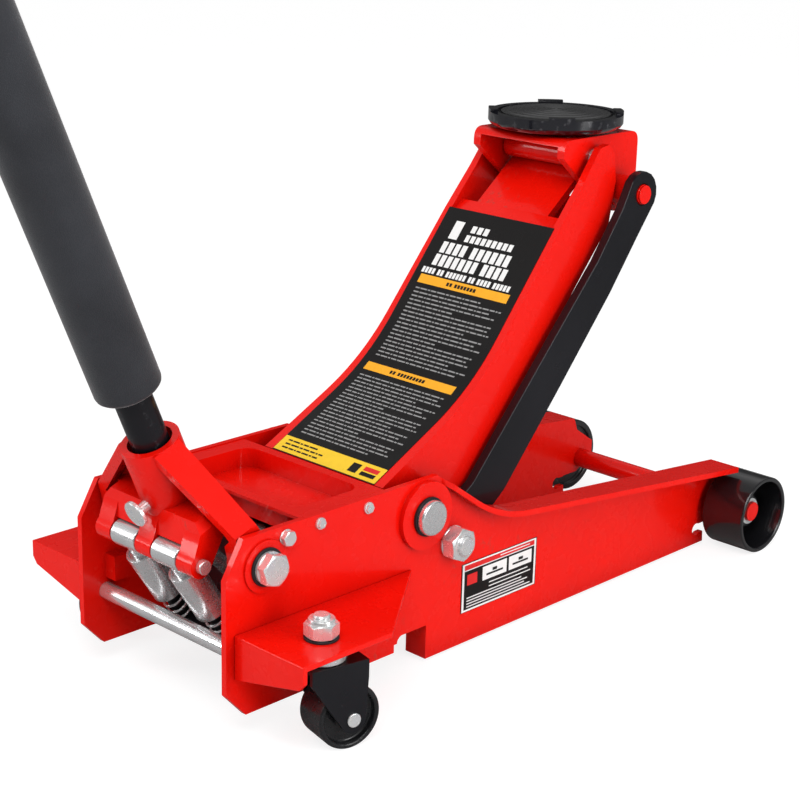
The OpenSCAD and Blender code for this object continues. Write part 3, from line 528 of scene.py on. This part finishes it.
def hex_body(shape, at, axis, across, low, high, turned=0.0, both_ends=False, per_side=8):
    """Adds a hexagon whose corners are chamfered by a 30 degree cone at the far end."""
    side = Matrix.Rotation(turned, 3, axis) @ (UP if abs(axis.z) < 0.5 else Vector((1, 0, 0)))
    other = axis.cross(side)
    flat = across / 2
    reach = flat / math.cos(math.pi / 6)
    corners = [(side * math.cos(math.pi * k / 3) + other * math.sin(math.pi * k / 3)) * reach for k in range(6)]
    rim = [corners[k].lerp(corners[(k + 1) % 6], j / per_side) for k in range(6) for j in range(per_side)]
    drop = [max(0.0, p.length - flat * 0.97) * math.tan(math.radians(30)) for p in rim]
    far = [shape.verts.new(at + p + axis * (high - d)) for p, d in zip(rim, drop)]
    top = [shape.verts.new(at + p.normalized() * flat * 0.95 + axis * high) for p in rim]
    near = [shape.verts.new(at + p + axis * (low + (d if both_ends else 0))) for p, d in zip(rim, drop)]
    skin(shape, [near, far, top])


def thread(low, high, radius):
    """Profile of a threaded end: close grooves, then a chamfer."""
    count = max(1, int((high - THREAD_TAIL - low) / THREAD_PITCH))
    root = radius - THREAD_DEPTH
    profile = []
    for i in range(count):
        start = low + i * THREAD_PITCH
        profile += [(start, radius), (start + THREAD_PITCH * 0.15, radius), (start + THREAD_PITCH * 0.5, root),
                    (start + THREAD_PITCH * 0.65, root)]
    return profile + [(high - THREAD_TAIL, radius), (high, radius - THREAD_TAIL)]


def fastener(node, build):
    """One mesh for a CAD node of bolts, made from the bodies that build adds."""
    shape = bmesh.new()
    build(shape)
    piece = add_finish(node, mesh_of(shape, node + "_finish", 24))
    round_edges(piece, 0.35, 2, 35)


def make_fasteners():
    """Turned shanks and flanges with chamfered hexagons, in the places of the CAD's bolts, studs and nuts."""
    out_y = plate_outer
    link_in_y, link_out_y = (limit.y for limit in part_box("link_left"))
    yoke_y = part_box("yoke")[1].y
    plate_in_y = yoke_y + YOKE_GAP
    head_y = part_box("yoke_bolts")[1].y
    link_low = on_centre_plane(joint_point("link_left_swing"))
    unit_at = on_centre_plane(middle("unit_bolts"))
    nut_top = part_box("caster_nuts")[1].z
    wing_z = nut_top - 19 * MM
    fork_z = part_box("caster_studs")[0].z
    stud_places = [Vector((joint_point(name).x, joint_point(name).y, 0))
                   for name in ("caster_right_swivel", "caster_left_swivel")]

    def yoke_bolts(shape):
        at = on_centre_plane(handle_pivot)
        for axis in SIDEWAYS:
            lathe(shape, at, axis, [(yoke_y - 20 * MM, YOKE_BOLT_R), (head_y - 11 * MM, YOKE_BOLT_R)])
            lathe(shape, at, axis, [(head_y - 12 * MM, YOKE_COLLAR_R), (head_y - 9 * MM, YOKE_COLLAR_R)])
            hex_body(shape, at, axis, YOKE_HEAD_ACROSS, head_y - 9.5 * MM, head_y, 0.25)

    def link_nuts(shape):
        for axis in SIDEWAYS:
            lathe(shape, link_low, axis, [(out_y, LINK_FLANGE_R), (out_y + 1.4 * MM, LINK_FLANGE_R),
                                          (out_y + 2 * MM, LINK_FLANGE_R - 0.6 * MM)])
            hex_body(shape, link_low, axis, LINK_NUT_ACROSS, out_y + 1.8 * MM, out_y + 16 * MM, 0.1)

    def link_studs(shape):
        for axis in SIDEWAYS:
            lathe(shape, link_low, axis,
                  [(link_in_y, LINK_STUD_R)] + thread(out_y + 9 * MM, out_y + 20 * MM, LINK_STUD_R))
            lathe(shape, link_low, axis, [(link_out_y + 0.3 * MM, LINK_FLANGE_R), (plate_in_y, LINK_FLANGE_R)])

    def unit_bolts(shape):
        for axis in SIDEWAYS:
            lathe(shape, unit_at, axis, [(plate_in_y - 6 * MM, UNIT_BOLT_R), (out_y, UNIT_BOLT_R)])
            lathe(shape, unit_at, axis, [(out_y, UNIT_COLLAR_R), (out_y + 1 * MM, UNIT_COLLAR_R)])
            hex_body(shape, unit_at, axis, UNIT_HEAD_ACROSS, out_y + 1 * MM, out_y + 6.5 * MM, 0.3)
            hex_body(shape, unit_at, axis, UNIT_HEAD_ACROSS, plate_in_y - 6 * MM, plate_in_y, 0.2)

    def caster_nuts(shape):
        for at in stud_places:
            hex_body(shape, at, UP, CASTER_NUT_ACROSS, wing_z + 2 * MM, wing_z + 15 * MM, 0.35, both_ends=True)
            lathe(shape, at, UP, [(wing_z + 14.5 * MM, 12.4 * MM), (wing_z + 17 * MM, 12.2 * MM),
                                  (wing_z + 18.6 * MM, 11.4 * MM), (nut_top, 10.5 * MM)])

    def caster_studs(shape):
        for at in stud_places:
            lathe(shape, at, UP, [(fork_z + 4.8 * MM, CASTER_STUD_R), (wing_z + 17 * MM, CASTER_STUD_R)]
                  + thread(wing_z + 17 * MM, wing_z + 22 * MM, CASTER_STUD_R))
            lathe(shape, at, UP, [(fork_z, 11.5 * MM), (fork_z + 1.5 * MM, CASTER_HEAD_R),
                                  (fork_z + 5 * MM, CASTER_HEAD_R)])

    for build in (yoke_bolts, link_nuts, link_studs, unit_bolts, caster_nuts, caster_studs):
        fastener(build.__name__, build)


# ---------- saddle pad ----------
PAD_CROWN, PAD_RING_DEPTH, PAD_RING_STEP, PAD_RIM = 2.4 * MM, 0.7 * MM, 9 * MM, 4 * MM
PAD_EDGE = 0.5 * MM
PAD_STEPS = 90


def make_saddle_pad():
    """A pad with a low crown and moulded rings, on the saddle's own axis."""
    low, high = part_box("saddle_pad")
    reach = (high.x - low.x) / 2
    turn_at = joint_point("saddle_turn")
    profile = [(low.z, reach - PAD_EDGE), (low.z + PAD_EDGE, reach)]
    for i in range(PAD_STEPS):
        r = reach * (1 - i / PAD_STEPS)
        crown = PAD_CROWN * (r / reach) ** 2
        wave = 0.5 + 0.5 * math.cos(2 * math.pi * r / PAD_RING_STEP) if r < reach - PAD_RIM else 1
        profile.append((high.z - crown - PAD_RING_DEPTH * wave, r))
    shape = bmesh.new()
    lathe(shape, Vector((turn_at.x, turn_at.y, 0)), UP, profile, 96)
    mesh = mesh_of(shape, "saddle_pad_rings", 40)
    add_piece("saddle_pad_rings", mesh, MATERIAL["pad_rubber"], BODY_OF["saddle_pad"],
              ["saddle_pad"])


# ---------- coiled springs ----------
def helix_mesh(name, start, axis, length, radius, wire, turns):
    """A round wire wound on an axis, with closed ends."""
    side = axis.orthogonal().normalized()
    other = axis.cross(side)
    steps, ring = turns * 28, 10
    points, faces = [], []
    for i in range(steps + 1):
        turn = 2 * math.pi * turns * i / steps
        out = side * math.cos(turn) + other * math.sin(turn)
        forward = axis * length / (2 * math.pi * turns)
        along = (other * math.cos(turn) - side * math.sin(turn)) * radius + forward
        centre = start + axis * (length * i / steps) + out * radius
        up = along.normalized().cross(out)
        for k in range(ring):
            a = 2 * math.pi * k / ring
            points.append(centre + (out * math.cos(a) + up * math.sin(a)) * wire)
    for i in range(steps):
        for k in range(ring):
            a, b = i * ring + k, i * ring + (k + 1) % ring
            faces.append((a, b, b + ring, a + ring))
    faces.append(tuple(range(ring - 1, -1, -1)))
    faces.append(tuple(range(steps * ring, (steps + 1) * ring)))
    mesh = bpy.data.meshes.new(name)
    mesh.from_pydata(points, [], faces)
    for face in mesh.polygons:
        face.use_smooth = len(face.vertices) == 4
    return mesh


SPRING_RADIUS, SPRING_WIRE, SPRING_TURNS = 10.2 * MM, 1.3 * MM, 9
SPRING_LOW, SPRING_HIGH = 27 * MM, 104.5 * MM
BARREL_RADIUS = 7.5 * MM


def make_springs():
    """Two coiled pump springs along the pump axis, on the frame in the place of the CAD's springs."""
    length = SPRING_HIGH - SPRING_LOW
    for name, side in (("right", -1), ("left", 1)):
        centre_y = side * (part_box("pump_barrels")[1].y - BARREL_RADIUS)
        start = Vector((roller_at.x, centre_y, roller_at.z)) + pump_axis * SPRING_LOW
        mesh = helix_mesh("pump_spring_" + name, start, pump_axis, length, SPRING_RADIUS, SPRING_WIRE,
                          SPRING_TURNS)
        piece = add_piece("pump_spring_" + name, mesh, MATERIAL["bright_steel"], "frame",
                          ["pump_springs"])
        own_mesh(piece)


# ---------- labels ----------
arm_along = (arm_pin_at - shaft_at).normalized()
arm_up = Vector((-arm_along.z, 0, arm_along.x))
INK_HEIGHT = 0.12 * MM


def arm_surface():
    """The top of the arm label, as a tree that rays can be cast at."""
    return BVHTree.FromObject(frame["nodes"]["arm_decal"], bpy.context.evaluated_depsgraph_get())


def on_arm_label(tree, u, y, layer):
    """The point at u along the arm and y across it, an ink layer or more above the label."""
    above = shaft_at + arm_along * u + arm_up * 0.2 + Vector((0, y, 0))
    hit = tree.ray_cast(above, -arm_up)[0]
    return hit + arm_up * INK_HEIGHT * layer


def label_bars(name, bars, place, body, step):
    """Thin printed bars. bars holds (ink, u0, u1, y0, y1), and place(u, y) gives the point on the label."""
    by_ink = {}
    for ink, u0, u1, y0, y1 in bars:
        points, faces = by_ink.setdefault(ink, ([], []))
        count = max(1, math.ceil((u1 - u0) / step))
        first = len(points)
        for i in range(count + 1):
            u = u0 + (u1 - u0) * i / count
            points += [place(u, y0), place(u, y1)]
        for i in range(count):
            a = first + 2 * i
            faces.append((a, a + 1, a + 3, a + 2))
    for ink, (points, faces) in by_ink.items():
        mesh = bpy.data.meshes.new(f"{name}_{ink}")
        mesh.from_pydata(points, [], faces)
        add_piece(f"{name}_{ink}", mesh, INK[ink], body)


def small_print(ink, u_top, u_low, y_left, y_right, count, thickness):
    """Rows of dashes of uneven length that stand for small print."""
    bars = []
    for i in range(count):
        u = u_top - (u_top - u_low) * i / max(1, count - 1)
        short = (0.0, 0.04, 0.0, 0.22, 0.02, 0.09, 0.0, 0.48)[(i * 5 + count) % 8]
        end = y_right + (y_left - y_right) * short
        y, k = y_left, i * 3
        while y - 3 > end:
            dash = (5.5, 9, 3, 7, 11, 4, 8, 6.5, 2.5)[k % 9]
            bars.append((ink, u - thickness / 2, u + thickness / 2, max(end, y - dash), y))
            y -= dash + 1.3
            k += 1
    return bars


def blocks(ink, u_low, u_high, y_left, y_right, groups):
    """A row of upright blocks in groups, in the place of large lettering."""
    count = sum(groups) + 0.6 * (len(groups) - 1)
    step = (y_left - y_right) / count
    bars, y = [], y_left
    for group in groups:
        for _ in range(group):
            bars.append((ink, u_low, u_high, y - step * 0.74, y))
            y -= step
        y -= step * 0.6
    return bars


def make_arm_label():
    """A generic arm label in millimetres along and across the arm: heading blocks, two texts and a foot."""
    tree = arm_surface()
    wide = 60
    first = [("yellow", -1, 18, -69.6, 69.6)]
    first += [("amber", low, low + 10, -wide, wide) for low in (228, 120)]
    first += blocks("white", 282, 303, 51, 35, [1]) + blocks("white", 293, 301, 27, 2, [3])
    first += blocks("white", 282, 290, 29, -36, [9]) + blocks("white", 265, 278, 53, -41, [4, 6])
    first += blocks("white", 250, 263, 54, -45, [7, 4])
    first += blocks("white", 240, 246.5, 62, -57, [4, 2, 6, 2, 4, 5])
    first += small_print("grey", 222, 140, wide - 2, -wide, 19, 1.5)
    first += small_print("grey", 113, 27, wide - 2, -wide, 20, 1.5)
    second = blocks("black", 231, 235, 22, -18, [2, 7]) + blocks("black", 123, 127, 26, -22, [2, 9])
    second += small_print("black", 13.5, 4, 62, 8, 3, 1.8)
    second += [("black", 3, 14, -40, -29), ("red", 9, 14, -64, -45), ("black", 3, 7.5, -64, -45)]
    for layer, bars in ((1, first), (2, second)):
        in_metres = [(ink, *(v * MM for v in limits)) for ink, *limits in bars]
        label_bars(f"arm_label_{layer}", in_metres, lambda u, y: on_arm_label(tree, u, y, layer), "lift_arm",
                   4 * MM)


def make_side_label():
    """A generic side label in shares of its own size, built up in four ink layers."""
    low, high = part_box("side_decal")
    size = high - low
    face_y = low.y - INK_HEIGHT

    def place(u, v):
        return Vector((low.x + size.x * v, face_y, low.z + size.z * u))

    def rows(ink, low_v, high_v, left, ends, thick):
        step = (high_v - low_v) / max(1, len(ends) - 1)
        return [(ink, low_v + step * i - thick / 2, low_v + step * i + thick / 2, left, end)
                for i, end in enumerate(ends)]

    layers = [[("white", 0.01, 0.99, 0.01, 0.99)],
              [("black", 0.05, 0.84, 0.035, 0.965), ("red", 0.86, 0.96, 0.035, 0.965)],
              [("white", 0.52, 0.80, 0.27, 0.59), ("white", 0.52, 0.80, 0.62, 0.93),
               ("red", 0.54, 0.76, 0.07, 0.20)]
              + rows("white", 0.10, 0.28, 0.07, (0.92, 0.84, 0.88, 0.80), 0.022)
              + rows("white", 0.36, 0.44, 0.36, (0.92, 0.88), 0.022),
              [("black", 0.60, 0.64, 0.32, 0.54), ("black", 0.66, 0.72, 0.40, 0.46),
               ("black", 0.60, 0.64, 0.67, 0.88), ("black", 0.66, 0.72, 0.75, 0.81),
               ("white", 0.905, 0.925, 0.50, 0.90)]]
    for i, bars in enumerate(layers):
        label_bars(f"side_label_{i}", bars, place, "frame", 1)
        face_y -= INK_HEIGHT


make_camera()
make_floor()
make_lights()
make_finished_parts()
make_fasteners()
make_saddle_pad()
make_springs()
make_arm_label()
make_side_label()
